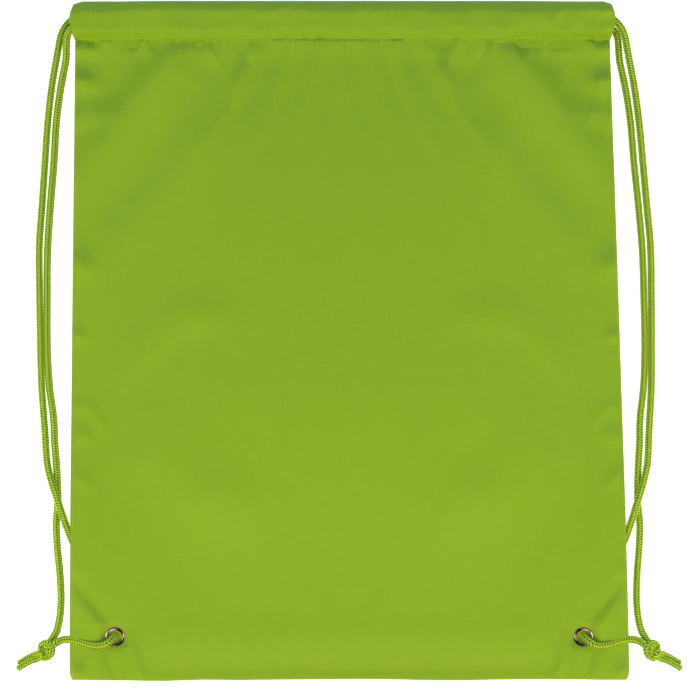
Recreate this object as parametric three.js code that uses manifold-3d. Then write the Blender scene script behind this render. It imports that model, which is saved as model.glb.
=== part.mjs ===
// A drawstring bag of thin cloth, lying on its back on a flat surface.
// Millimetres. +X is the bag's right, +Y runs from the closed bottom to the mouth, +Z is up.
// The origin is the middle of the bag's underside, on the surface it lies on.
import * as THREE from "three";
import { mergeVertices } from "three/addons/utils/BufferGeometryUtils.js";
import Module from "manifold-3d";

// The bag
const WIDTH = 346.6; // across the closed bottom
const HEIGHT = 420; // from the bottom fold to the mouth
const HEM = 24; // from the mouth down to the hem's stitch line
const HEM_TURN = 5; // the hem's inner layer runs on below the stitch line by this much
const CLOTH = 0.5; // thickness of each sheet
const GAP = 0.3; // clearance between pieces that touch
const FULLNESS = 11.66; // height of the inside at the middle
const SIDE_SLOPE = 60; // the front rises to its full height this far in from the sides
const BOTTOM_SLOPE = 60;
const SEAM_ALLOWANCE = 7; // width of the sewn edge inside each side
const SEAM_ROOM = 1.0; // height kept free for the sewn edge
const SEAM_THICK = 0.3;
const THREAD = 0.3;

// The cords
const CORD = 4; // diameter
const CHANNEL = CORD + 2 * GAP; // clear height of each hem's channel
const LYING = 2.1; // height of a lying cord's centre line
const LOW_RUN = 192.5; // where the two cords run in the channels, along Y
const HIGH_RUN = 203.5;

// The eyelets
const EYELET = { x: -145.4, y: -183.7, outer: 6.0, hole: 4.35, barrel: 4.65 }; // the left one
const WASHER_Z = 4.9;
const WASHER_THICK = 0.5;
const FLANGE_THICK = 0.9;

const TOP = HEIGHT / 2;
const BOTTOM = -HEIGHT / 2;
const STITCH_Y = TOP - HEM;
const FACING_END = STITCH_Y - HEM_TURN;
const LAYER = CLOTH + GAP; // from one sheet's middle to the next one's
const FOLD_RADIUS = (LAYER + CHANNEL - GAP) / 2;
const FOLD_Y = TOP - CLOTH / 2 - FOLD_RADIUS;
const UNDER_WASHER = WASHER_Z + WASHER_THICK + GAP; // the back's underside at an eyelet

const { clamp, smoothstep } = THREE.MathUtils;
const rise = (value, width) => smoothstep(value, 0, width);

const greens = { cloth: 0x89ad2a, cord: 0x93b92c, thread: 0x6f942c, edge: 0x7ba02c };
const fabric = (color, roughness) =>
  new THREE.MeshStandardMaterial({ color, roughness, metalness: 0 });
const chrome = () =>
  new THREE.MeshStandardMaterial({ color: 0xd8d4dc, roughness: 0.12, metalness: 1 });

const bag = new THREE.Group();
bag.name = "drawstring_bag";

function add(name, geometry, material) {
  const mesh = new THREE.Mesh(geometry, material);
  mesh.name = name;
  bag.add(mesh);
  return mesh;
}

// ---------------------------------------------------------------- outline of the cloth

// How far the hem's open end bulges past the stitch line.
function hemBulge(y) {
  const widest = STITCH_Y + 12.5;
  if (y <= STITCH_Y) return 0;
  if (y < widest) return 3.4 * Math.sin((Math.PI / 2) * ((y - STITCH_Y) / 12.5));
  return 3.4 * Math.cos((Math.PI / 2) * ((y - widest) / (TOP - widest)));
}

const bottomCorner = (y) => 1.6 * (1 - clamp((y - BOTTOM) / 5, 0, 1)) ** 2;
const upTheBag = (y) => clamp((y - BOTTOM) / (STITCH_Y - BOTTOM), 0, 1);

// The two sides, which lean a little: the mouth lies to the left of the bottom.
function leftEdge(y) {
  return -WIDTH / 2 + 3.3 * upTheBag(y) ** 1.6 - hemBulge(y) + bottomCorner(y);
}
function rightEdge(y) {
  return WIDTH / 2 - 12 * upTheBag(y) ** 1.2 + hemBulge(y) - bottomCorner(y);
}
const fromSide = (x, y) => Math.max(0, Math.min(x - leftEdge(y), rightEdge(y) - x));

// A point of the left side, carried over to the right one.
const across = (x, y) => leftEdge(y) + rightEdge(y) - x;
const toRight = ([x, y, z]) => [across(x, y), y, z];

// ---------------------------------------------------------------- routes of the cords

// Each cord lies in both channels, and both its ends leave the bag on the same side. One end goes
// straight down to the knot. The other goes behind the bag, up through the eyelet and to the knot.
// The points are for the left side: x and y, then z where it leaves the front or the back channel.
const MIDDLE = -4.5; // halfway along the hem, where each cord's near and far halves meet
const FROM_FRONT = [14.45, 14.45, 14.45, 14.3, 13.65, 10.95, 9.3, 9.3];
const FROM_BACK = [2.8, 2.8, 2.8, 2.8, 2.8, 2.8, 2.8, 2.8];
const CHANNEL_X = [MIDDLE, -55, -100, -112, -122, -135, -144, -158];

const straightEnd = [
  [-165, 193.2, 9.4, 2.8],
  [-170.5, 193.8, 9.1, 2.75],
  [-173.6, 191.6, 8.2, 2.65],
  [-175.1, 187.5, 6.9, 2.45],
  [-175.6, 181.5, 5.2, 2.25],
  [-175.9, 174, 3.7, 2.1],
  [-177.6, 165, 2.6, 2.1],
  [-179.4, 155],
  [-181.8, 136],
  [-183.4, 110],
  [-185.6, 83],
  [-187.3, 55],
  [-187.6, 25],
  [-187.5, -5],
  [-186.1, -29],
  [-183.6, -48],
  [-182.9, -63],
  [-181.6, -80],
  [-181, -98.8],
  [-182, -114],
  [-181.3, -128],
  [-179.6, -146],
  [-179, -161],
  [-179.7, -171],
  [-181.4, -179.4, 2.5],
  [-182.9, -182.5, 3.2],
  [-185.2, -186.3, 4.5],
];

const eyeletEnd = [
  [-164, 202.6, 9.3, 2.8],
  [-169.4, 200.8, 9.2, 2.75],
  [-173.6, 197.9, 9.0, 2.7],
  [-177.2, 193.6, 8.4, 2.55],
  [-179.4, 188.3, 7.2, 2.35],
  [-180.6, 182, 5.6, 2.2],
  [-182, 174, 3.8, 2.1],
  [-183.6, 165, 2.5, 2.1],
  [-185, 156],
  [-187.4, 134],
  [-189.2, 108],
  [-190.9, 83],
  [-192.6, 58],
  [-192.4, 30],
  [-191.9, 0],
  [-191.1, -28],
  [-189.1, -55],
  [-187.4, -77, 3.3],
  [-184.6, -88, 5.6],
  [-181, -98.8, 6.45],
  [-177, -111.2, 4.2],
  [-174.8, -117.6, 2.7],
  [-172.4, -123.6, 2.15],
  [-165.6, -138],
  [-158, -151.5],
  [-151, -163.5],
  [-146.6, -172.6],
  [-145.2, -178.2, 2.25],
  [-144.9, -180.1, 2.9],
  [-145.0, -181.6, 4.3],
  [-145.3, -182.7, 6.1],
  [-146.2, -184.0, 7.8],
  [-147.7, -185.5, 9.7],
  [-149.9, -187.3, 10.8],
  [-152.6, -188.6, 10.1],
  [-156.6, -189.0, 9.5],
  [-162, -188.1, 8.3],
  [-167, -186.5, 7.3],
  [-173, -185.2, 6.6],
  [-178.3, -185.6, 6.6],
  [-182.9, -188.1, 8.1],
];

const KNOT = [-188.5, -191.9, 6];
const straightTail = [
  [-194.7, -193.9, 4.5],
  [-198.9, -195.9, 2.7],
  [-205.0, -199.6, LYING],
];
const eyeletTail = [
  [-192.6, -197.4, 5.5],
  [-197.5, -199.1, 5.2],
  [-205.0, -203.4, 4.6],
];

// From the middle of a channel at Y = run, out of its end and along the given points.
function strandRoute(run, inFront, points) {
  const heights = inFront ? FROM_FRONT : FROM_BACK;
  const inside = CHANNEL_X.map((x, i) => [x, run, heights[i]]);
  const outside = points.map(([x, y, front = LYING, back = front]) => [
    x,
    y,
    inFront ? front : back,
  ]);
  return [...inside, ...outside];
}

// The far half of a cord: along one channel, round the hem's end and back through the other.
function loopRoute(frontRun, backRun) {
  const front = CHANNEL_X.slice(0, -1).map((x, i) => [x, frontRun, FROM_FRONT[i]]);
  const back = CHANNEL_X.slice(0, -1).map((x, i) => [x, backRun, FROM_BACK[i]]);
  const highest = FROM_FRONT.at(-1);
  const lowest = FROM_BACK.at(-1);
  const middle = [(frontRun + backRun) / 2, (highest + lowest) / 2];
  const half = [(frontRun - backRun) / 2, (highest - lowest) / 2];
  const radius = Math.hypot(...half);
  const turn = leftEdge(middle[0]) + 2.3 + CORD / 2 + radius;
  const bend = [0, 30, 60, 90, 120, 150, 180].map((degrees) => {
    const a = THREE.MathUtils.degToRad(degrees);
    const away = Math.cos(a);
    return [turn - radius * Math.sin(a), middle[0] + half[0] * away, middle[1] + half[1] * away];
  });
  return [...front, ...bend, ...back.reverse()];
}

// ---------------------------------------------------------------- heights of the cloth

// The stretch of the cord that lies under the bag, which lifts the cloth over it.
const hidden = eyeletEnd.slice(22, 27).map(([x, y]) => new THREE.Vector3(x, y, 0));

function fromHiddenCord(x, y) {
  const point = new THREE.Vector3(x, y, 0);
  const nearest = new THREE.Vector3();
  let best = Infinity;
  for (let i = 1; i < hidden.length; i++) {
    new THREE.Line3(hidden[i - 1], hidden[i]).closestPointToPoint(point, true, nearest);
    best = Math.min(best, nearest.distanceTo(point));
  }
  return best;
}

function liftOnLeft(x, y) {
  const overCord = (LYING + CORD / 2 + 0.5) * (1 - rise(fromHiddenCord(x, y) - 9, 24));
  const away = Math.hypot(x - EYELET.x, y - EYELET.y);
  const overWasher = UNDER_WASHER * (1 - rise(away - 9, 20));
  return Math.max(overCord, overWasher);
}
const lift = (x, y) => liftOnLeft(x < 0 ? x : across(x, y), y);

const channelRise = (y) => (CHANNEL - GAP) * rise(y - STITCH_Y, 5.5);
const overFacing = (y) => rise(y - FACING_END + 10, 10);
const seamRoom = (x, y) => SEAM_ROOM * (1 - rise(fromSide(x, y) - 12, 6));

// Middle surfaces of the back sheet: its outer layer and the layer turned in at the hem.
const backOuter = (x, y) => CLOTH / 2 + lift(x, y);
const backFacing = (x, y) => backOuter(x, y) + LAYER + channelRise(y);

// The lowest height that is clear of everything on the back sheet.
function overBack(x, y) {
  const folded = overFacing(y);
  const top = backOuter(x, y) + CLOTH / 2 + folded * (LAYER + channelRise(y));
  return top + GAP + folded * (THREAD + GAP) + (1 - folded) * seamRoom(x, y);
}

// Underside of the front sheet's inmost layer: a low pillow with an open mouth.
function underFront(x, y) {
  const sides = rise(fromSide(x, y), SIDE_SLOPE);
  const ends = rise(y - BOTTOM, BOTTOM_SLOPE);
  const shut = CLOTH + GAP + seamRoom(x, y);
  return Math.max(shut + (FULLNESS - CLOTH - GAP) * sides * ends, overBack(x, y));
}
const frontFacing = (x, y) => underFront(x, y) + CLOTH / 2;
const frontOuter = (x, y) => frontFacing(x, y) + overFacing(y) * LAYER + channelRise(y);

// ---------------------------------------------------------------- the two sheets

// Columns stand at these distances from each side, and one in the middle.
const COLUMNS = [0, 5, 12, 20, 28, 37, 50, 70, 95, 125];
const BODY_ROWS = [0, 5, 12, 19, 26.3, 34, 44, 56, 70, 86, 105, 130, 170, 215, 260, 305, 345, 375, 386, 391, 396];
const HEM_ROWS = [188.7, 191.5, 198, 204];
const FOLD_STEPS = 4;
const FACING_INSET = 8.5; // the turned-in layer stops this far short of the hem's open ends

// Each row of a sheet: y, how far it stands in from the sides, and its place between the layers.
function sheetRows() {
  const rows = BODY_ROWS.map((fromBottom) => ({ y: BOTTOM + fromBottom, inset: 0, turned: 0 }));
  for (const y of HEM_ROWS) rows.push({ y, inset: 0, turned: 0 });
  for (let i = 0; i <= FOLD_STEPS; i++) {
    const angle = (Math.PI * i) / FOLD_STEPS;
    const turned = (1 - Math.cos(angle)) / 2;
    rows.push({ y: FOLD_Y + FOLD_RADIUS * Math.sin(angle), inset: FACING_INSET * turned, turned });
  }
  for (const y of [...HEM_ROWS].reverse().concat(STITCH_Y, FACING_END))
    rows.push({ y, inset: FACING_INSET, turned: 1 });
  return rows;
}

// A sheet is a flat box bent so that its middle follows outer, round the fold and back along facing.
function sheet(outer, facing, towardsOutside) {
  const rows = sheetRows();
  const columns = COLUMNS.length * 2;
  const geometry = new THREE.BoxGeometry(1, 1, 1, columns, rows.length - 1, 1);
  const middle = (column, { y, inset, turned }) => {
    const onLeft = column < COLUMNS.length;
    const onRight = column > COLUMNS.length;
    let x = (leftEdge(y) + rightEdge(y)) / 2;
    if (onLeft) x = leftEdge(y) + inset + COLUMNS[column];
    if (onRight) x = rightEdge(y) - inset - COLUMNS[columns - column];
    const flatY = Math.min(y, FOLD_Y); // the fold's round end has the heights of its start
    const z = THREE.MathUtils.lerp(outer(x, flatY), facing(x, flatY), turned);
    return new THREE.Vector3(x, y, z);
  };
  const positions = geometry.attributes.position;
  for (let i = 0; i < positions.count; i++) {
    const column = Math.round((positions.getX(i) + 0.5) * columns);
    const row = Math.round((positions.getY(i) + 0.5) * (rows.length - 1));
    const here = middle(column, rows[row]);
    const before = middle(column, rows[Math.max(0, row - 1)]);
    const after = middle(column, rows[Math.min(rows.length - 1, row + 1)]);
    const along = after.sub(before);
    const offset = (positions.getZ(i) > 0 ? 1 : -1) * (CLOTH / 2) * towardsOutside;
    const length = Math.hypot(along.y, along.z);
    here.y -= (offset * along.z) / length;
    here.z += (offset * along.y) / length;
    positions.setXYZ(i, here.x, here.y, here.z);
  }
  if (towardsOutside < 0) turnInsideOut(geometry);
  return geometry;
}

function turnInsideOut(geometry) {
  const index = geometry.index;
  for (let i = 0; i < index.count; i += 3) {
    const second = index.getX(i + 1);
    index.setX(i + 1, index.getX(i + 2));
    index.setX(i + 2, second);
  }
}

const eyeletX = [EYELET.x, across(EYELET.x, EYELET.y)];

const wasm = await Module();
wasm.setup();

function toSolid(geometry) {
  const plain = geometry.clone();
  plain.deleteAttribute("normal");
  plain.deleteAttribute("uv");
  const merged = mergeVertices(plain, 1e-4);
  const triVerts = new Uint32Array(merged.index.array);
  const vertProperties = new Float32Array(merged.attributes.position.array);
  return new wasm.Manifold(new wasm.Mesh({ numProp: 3, vertProperties, triVerts }));
}

function toGeometry(solid) {
  const mesh = solid.getMesh();
  const geometry = new THREE.BufferGeometry();
  geometry.setAttribute("position", new THREE.BufferAttribute(mesh.vertProperties, 3));
  geometry.setIndex(new THREE.BufferAttribute(mesh.triVerts, 1));
  geometry.computeVertexNormals();
  return geometry;
}

// Holes for the eyelets' barrels.
function withEyeletHoles(geometry) {
  let solid = toSolid(geometry);
  for (const x of eyeletX) {
    const punch = new THREE.CylinderGeometry(5, 5, 20, 16);
    punch.rotateX(Math.PI / 2);
    punch.translate(x, EYELET.y, UNDER_WASHER);
    solid = solid.subtract(toSolid(punch));
  }
  return toGeometry(solid);
}

add("front_panel", withEyeletHoles(sheet(frontOuter, frontFacing, 1)), fabric(greens.cloth, 0.62));
add("back_panel", withEyeletHoles(sheet(backOuter, backFacing, -1)), fabric(greens.cloth, 0.62));

// ---------------------------------------------------------------- seams and threads

// A thin strip: place(along 0 to 1, across 0 to 1) gives x and y, and under(x, y) its underside.
function strip(steps, widthSteps, thickness, place, under) {
  const geometry = new THREE.BoxGeometry(1, 1, 1, steps, widthSteps, 1);
  const positions = geometry.attributes.position;
  for (let i = 0; i < positions.count; i++) {
    const [x, y] = place(positions.getX(i) + 0.5, positions.getY(i) + 0.5);
    const z = under(x, y) + (positions.getZ(i) > 0 ? thickness : 0);
    positions.setXYZ(i, x, y, z);
  }
  return geometry;
}

const SEAM_ROWS = BODY_ROWS.filter((fromBottom) => fromBottom >= 5 && fromBottom <= 375);
const seamY = (along) => BOTTOM + SEAM_ROWS[Math.round(along * (SEAM_ROWS.length - 1))];
const onBack = (x, y) => backOuter(x, y) + CLOTH / 2 + (SEAM_ROOM + GAP - SEAM_THICK) / 2;
const onFrontHem = (x, y) => frontOuter(x, y) + CLOTH / 2 + GAP;
const onBackHem = (x, y) => backFacing(x, y) + CLOTH / 2 + GAP;

for (const side of ["left", "right"]) {
  const inFrom = (distance, y) =>
    side === "left" ? leftEdge(y) + distance : rightEdge(y) - distance;
  const inwards = side === "left" ? (v) => 1 - v : (v) => v;

  // The sewn and overcast edges of both sheets, inside the bag.
  const allowance = (u, v) => [inFrom(1 + SEAM_ALLOWANCE * inwards(v), seamY(u)), seamY(u)];
  const seam = strip(SEAM_ROWS.length - 1, 2, SEAM_THICK, allowance, onBack);
  add(side + "_side_seam", seam, fabric(greens.edge, 0.7));

  // The seam's thread runs at the very edge.
  const edgeLine = (u, v) => [inFrom(0.1 + 0.5 * inwards(v), seamY(u)), seamY(u)];
  const thread = strip(SEAM_ROWS.length - 1, 1, SEAM_THICK, edgeLine, onBack);
  add(side + "_side_stitching", thread, fabric(greens.thread, 0.6));

  // Close back-and-forth stitches that stop the hem's seam at each end of the channels.
  const tackPlace = (u, v) => {
    const y = STITCH_Y - 2 * (1 - v);
    return [inFrom(1.2 + 9.6 * (side === "left" ? u : 1 - u), y), y];
  };
  const frontTack = strip(2, 1, THREAD, tackPlace, onFrontHem);
  add(side + "_front_hem_tack", frontTack, fabric(greens.thread, 0.6));
  const backTack = strip(2, 1, THREAD, tackPlace, onBackHem);
  add(side + "_back_hem_tack", backTack, fabric(greens.thread, 0.6));
}

// One long line of stitches holds each hem down.
const hemColumns = COLUMNS.filter((distance) => distance >= 12);
const hemX = hemColumns
  .map((distance) => leftEdge(STITCH_Y) + distance)
  .concat(hemColumns.map((distance) => rightEdge(STITCH_Y) - distance).reverse());
const hemLine = (u, v) => [hemX[Math.round(u * (hemX.length - 1))], STITCH_Y - 0.5 * (1 - v)];
const frontLine = strip(hemX.length - 1, 1, THREAD, hemLine, onFrontHem);
const backLine = strip(hemX.length - 1, 1, THREAD, hemLine, onBackHem);
add("front_hem_stitching", frontLine, fabric(greens.thread, 0.6));
add("back_hem_stitching", backLine, fabric(greens.thread, 0.6));

// ---------------------------------------------------------------- eyelets

function ring(profile) {
  const closed = [...profile, profile[0]].map(([r, z]) => new THREE.Vector2(r, z));
  const geometry = new THREE.LatheGeometry(closed, 20);
  geometry.rotateX(Math.PI / 2);
  return geometry;
}

const FLANGE_Z = UNDER_WASHER + 2 * LAYER;
const FLANGE_TOP = FLANGE_Z + FLANGE_THICK;

function eyelet() {
  return ring([
    [EYELET.hole, WASHER_Z],
    [EYELET.barrel, WASHER_Z],
    [EYELET.barrel, FLANGE_Z],
    [EYELET.outer, FLANGE_Z],
    [EYELET.outer, FLANGE_TOP - 0.45],
    [EYELET.outer - 0.45, FLANGE_TOP],
    [EYELET.hole + 0.45, FLANGE_TOP],
    [EYELET.hole, FLANGE_TOP - 0.45],
  ]);
}

function washer() {
  const inner = EYELET.barrel + GAP;
  return ring([
    [inner, WASHER_Z],
    [EYELET.outer, WASHER_Z],
    [EYELET.outer, WASHER_Z + WASHER_THICK],
    [inner, WASHER_Z + WASHER_THICK],
  ]);
}

["left", "right"].forEach((side, i) => {
  add(side + "_eyelet", eyelet(), chrome()).position.set(eyeletX[i], EYELET.y, 0);
  add(side + "_eyelet_washer", washer(), chrome()).position.set(eyeletX[i], EYELET.y, 0);
});

// ---------------------------------------------------------------- cords and knots

// A curve whose steps follow its points, so that the close points of a bend get more of them.
class Route extends THREE.CatmullRomCurve3 {
  constructor(points) {
    super(points.map((p) => new THREE.Vector3(...p)), false, "centripetal");
  }
  getPointAt(t, target) {
    return this.getPoint(t, target);
  }
  getTangentAt(t, target) {
    return this.getTangent(t, target);
  }
}

function tube(points) {
  const section = new THREE.Shape().absarc(0, 0, CORD / 2, 0, 2 * Math.PI);
  return new THREE.ExtrudeGeometry(section, {
    steps: points.length - 1,
    curveSegments: 4,
    extrudePath: new Route(points),
  });
}

for (const side of ["left", "right"]) {
  const place = (points) => (side === "left" ? points : points.map(toRight));
  const cord = () => fabric(greens.cord, 0.75);
  const straight = place(strandRoute(LOW_RUN, side === "left", straightEnd));
  const throughEyelet = place(strandRoute(HIGH_RUN, side === "right", eyeletEnd));
  add(side + "_cord_straight_strand", tube(straight), cord());
  add(side + "_cord_eyelet_strand", tube(throughEyelet), cord());
  add(side + "_cord_straight_tail", tube(place(straightTail)), cord());
  add(side + "_cord_eyelet_tail", tube(place(eyeletTail)), cord());

  const knot = new THREE.SphereGeometry(1, 12, 8);
  knot.scale(5.6, 6.1, 5.8);
  add(side + "_cord_knot", knot, cord()).position.set(...place([KNOT])[0]);
}

// Each cord's far half turns back at the other side's hem end.
const atLeft = loopRoute(HIGH_RUN, LOW_RUN);
const atRight = loopRoute(LOW_RUN, HIGH_RUN).map(toRight);
add("right_cord_channel_loop", tube(atLeft), fabric(greens.cord, 0.75));
add("left_cord_channel_loop", tube(atRight), fabric(greens.cord, 0.75));

export default bag;
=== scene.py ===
"""Looks of a drawstring bag of thin green cloth that lies on its back.

Lengths in this script are millimetres up to the moment a mesh is made, which is in metres.
+X is the bag's right, +Y runs from its closed bottom to its mouth, +Z is up.
"""

import math

import bpy
import numpy as np
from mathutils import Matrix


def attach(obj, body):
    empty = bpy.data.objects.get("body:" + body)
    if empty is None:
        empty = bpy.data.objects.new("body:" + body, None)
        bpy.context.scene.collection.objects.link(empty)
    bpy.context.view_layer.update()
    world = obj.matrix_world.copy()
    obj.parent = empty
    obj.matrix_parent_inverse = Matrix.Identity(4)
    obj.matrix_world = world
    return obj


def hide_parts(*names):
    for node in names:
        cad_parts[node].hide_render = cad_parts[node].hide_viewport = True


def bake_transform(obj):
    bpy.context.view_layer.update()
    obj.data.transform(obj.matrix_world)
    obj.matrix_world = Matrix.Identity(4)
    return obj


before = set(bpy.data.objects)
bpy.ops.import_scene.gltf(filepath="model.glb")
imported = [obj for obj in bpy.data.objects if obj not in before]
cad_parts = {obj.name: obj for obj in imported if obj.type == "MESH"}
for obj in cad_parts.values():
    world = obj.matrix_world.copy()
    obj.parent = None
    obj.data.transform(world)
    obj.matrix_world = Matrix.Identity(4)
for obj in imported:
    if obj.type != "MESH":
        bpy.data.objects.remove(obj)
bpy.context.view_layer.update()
MM = 0.001

# ---------------- sizes, as in the CAD

WIDTH, HEIGHT = 346.6, 420.0
HEM, HEM_TURN = 24.0, 5.0
CLOTH, GAP, THREAD = 0.5, 0.3, 0.3
FULLNESS, SLOPE = 11.66, 60.0
CORD, LYING = 4.0, 2.1
CHANNEL = CORD + 2 * GAP
LOW_RUN, HIGH_RUN = 192.5, 203.5
EYELET_X, EYELET_Y = -145.4, -183.7
EYELET_OUTER, EYELET_HOLE, EYELET_BARREL = 6.0, 4.35, 4.65
WASHER_Z, WASHER_THICK = 4.9, 0.5
UNDER_WASHER = WASHER_Z + WASHER_THICK + GAP
TOP, BOTTOM = HEIGHT / 2, -HEIGHT / 2
STITCH_Y = TOP - HEM
FACING_END = STITCH_Y - HEM_TURN
LAYER = CLOTH + GAP
FLANGE_Z = UNDER_WASHER + 2 * LAYER
FACING_INSET = 8.5

SIDES = ("left", -1), ("right", 1)
VISIBLE_CLOTH = 0.36  # thickness of the cloth as it shows
CORD_HOLE, CORD_HOLE_RADIUS = (-145.2, -182.2), 1.5  # in the cloth, where the cord passes through

# ---------------- camera


def into_scene(made):
    bpy.context.scene.collection.objects.link(made)



LENS, SENSOR = 300.0, 36.0
FRAME_WIDTH = 434.0  # how much of the surface the picture shows across
CAMERA_AT = (0.31, -5.77)
SEEN_AT = 5.0  # height at which that width is measured

camera_data = bpy.data.cameras.new("camera")
camera_data.lens, camera_data.sensor_width = LENS, SENSOR
camera_data.clip_start, camera_data.clip_end = 0.1, 50
camera = bpy.data.objects.new("camera", camera_data)
camera_height = SEEN_AT + FRAME_WIDTH * LENS / SENSOR
camera.location = (CAMERA_AT[0] * MM, CAMERA_AT[1] * MM, camera_height * MM)
into_scene(camera)
bpy.context.scene.camera = camera
bpy.context.scene.view_settings.view_transform = "Standard"

# ---------------- small helpers


def smooth(value, width=1.0):
    t = np.clip(np.asarray(value, float) / width, 0, 1)
    return t * t * (3 - 2 * t)


def bell(value, width):
    return np.exp(-((np.asarray(value, float) / width) ** 2))


def mix(a, b, t):
    return a + (b - a) * t


def wander(values, period, seed):
    """Smooth random values from -1 to 1 along a line, the same in every run."""
    values = np.asarray(values, float) / period
    table = np.random.default_rng(seed).uniform(-1, 1, 512)
    i = np.floor(values).astype(int)
    return mix(table[i % 512], table[(i + 1) % 512], smooth(values - i))


def nearest_on(line, x, y):
    """Distance to a line of points, and the place along it from 0 to 1."""
    line = np.asarray(line, float)
    best = np.full(np.shape(x), 1e9)
    place = np.zeros(np.shape(x))
    last = len(line) - 1
    for i in range(last):
        a, step = line[i], line[i + 1] - line[i]
        t = np.clip(((x - a[0]) * step[0] + (y - a[1]) * step[1]) / (step @ step), 0, 1)
        away = np.hypot(x - a[0] - t * step[0], y - a[1] - t * step[1])
        place = np.where(away < best, (i + t) / last, place)
        best = np.minimum(best, away)
    return best, place


def make_object(name, verts, faces, material, attributes=(), uv=None, normals=None):
    """A smooth mesh object, from millimetres. uv is one pair for each vertex."""
    mesh = bpy.data.meshes.new(name)
    faces = np.asarray(faces, np.int32)
    sides = faces.shape[1]
    mesh.vertices.add(len(verts))
    mesh.vertices.foreach_set("co", (np.asarray(verts, float) * MM).astype(np.float32).ravel())
    mesh.loops.add(faces.size)
    mesh.loops.foreach_set("vertex_index", faces.ravel())
    mesh.polygons.add(len(faces))
    mesh.polygons.foreach_set("loop_start", np.arange(0, faces.size, sides, dtype=np.int32))
    mesh.update(calc_edges=True)
    mesh.validate()
    mesh.shade_smooth()
    if uv is not None:
        layer = mesh.uv_layers.new(name="cloth")
        loops = np.zeros(len(mesh.loops), np.int32)
        mesh.loops.foreach_get("vertex_index", loops)
        layer.data.foreach_set("uv", np.asarray(uv, np.float32)[loops].ravel())
    for key, values in attributes:
        layer = mesh.attributes.new(key, "FLOAT", "POINT")
        layer.data.foreach_set("value", np.asarray(values, np.float32).ravel())
    if normals is not None:
        mesh.normals_split_custom_set_from_vertices([tuple(n) for n in normals])
    mesh.materials.append(material)
    made = bpy.data.objects.new(name, mesh)
    into_scene(made)
    return made


def grid_quads(down, over):
    """Faces between neighbours in a grid of points, as a grid of faces."""
    index = np.arange(down * over).reshape(down, over)
    return np.stack([index[:-1, :-1], index[:-1, 1:], index[1:, 1:], index[1:, :-1]], -1)


def tube_quads(index):
    """Faces of tubes, from the numbers of their points by ring and by place round the ring."""
    nxt = np.roll(index, -1, axis=-1)
    quads = [index[..., :-1, :], nxt[..., :-1, :], nxt[..., 1:, :], index[..., 1:, :]]
    return np.stack(quads, -1).reshape(-1, 4)


def ring_directions(turn, first, second):
    """Directions round a ring, from two directions that are square to each other."""
    return np.cos(turn)[:, None] * first[..., None, :] + np.sin(turn)[:, None] * second[..., None, :]


def srgb(red, green, blue):
    def linear(c):
        c /= 255
        return c / 12.92 if c <= 0.04045 else ((c + 0.055) / 1.055) ** 2.4

    return (linear(red), linear(green), linear(blue), 1.0)


# ---------------- outline of the cloth


def up_the_bag(y):
    return np.clip((y - BOTTOM) / (STITCH_Y - BOTTOM), 0, 1)


def hem_bulge(y):
    widest = STITCH_Y + 12.5
    rising = np.sin(np.pi / 2 * np.clip((y - STITCH_Y) / 12.5, 0, 1))
    falling = np.cos(np.pi / 2 * np.clip((y - widest) / (TOP - widest), 0, 1))
    return 3.4 * np.where(y < widest, rising, falling)


def corner(y):
    return 1.6 * (1 - np.clip((y - BOTTOM) / 5, 0, 1)) ** 2


def left_edge(y):
    return -WIDTH / 2 + 3.3 * up_the_bag(y) ** 1.6 - hem_bulge(y) + corner(y)


def right_edge(y):
    return WIDTH / 2 - 12 * up_the_bag(y) ** 1.2 + hem_bulge(y) - corner(y)


def side_edge(side, y):
    return left_edge(y) if side < 0 else right_edge(y)


def across(x, y):
    """A point of one side, carried over to the other."""
    return left_edge(y) + right_edge(y) - x


def on_left(x, y):
    """x of the same place on the left side."""
    return np.where(x < 0, x, across(x, y))


def from_side(x, y):
    return np.maximum(0, np.minimum(x - left_edge(y), right_edge(y) - x))


# ---------------- routes of the cords

# As in the CAD: points of the left side, then z where the cord leaves the front or back channel.
MIDDLE = -4.5
FROM_FRONT = [14.45, 14.45, 14.45, 14.3, 13.65, 10.95, 9.3, 9.3]
FROM_BACK = [2.8] * 8
CHANNEL_X = [MIDDLE, -55, -100, -112, -122, -135, -144, -158]

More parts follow.
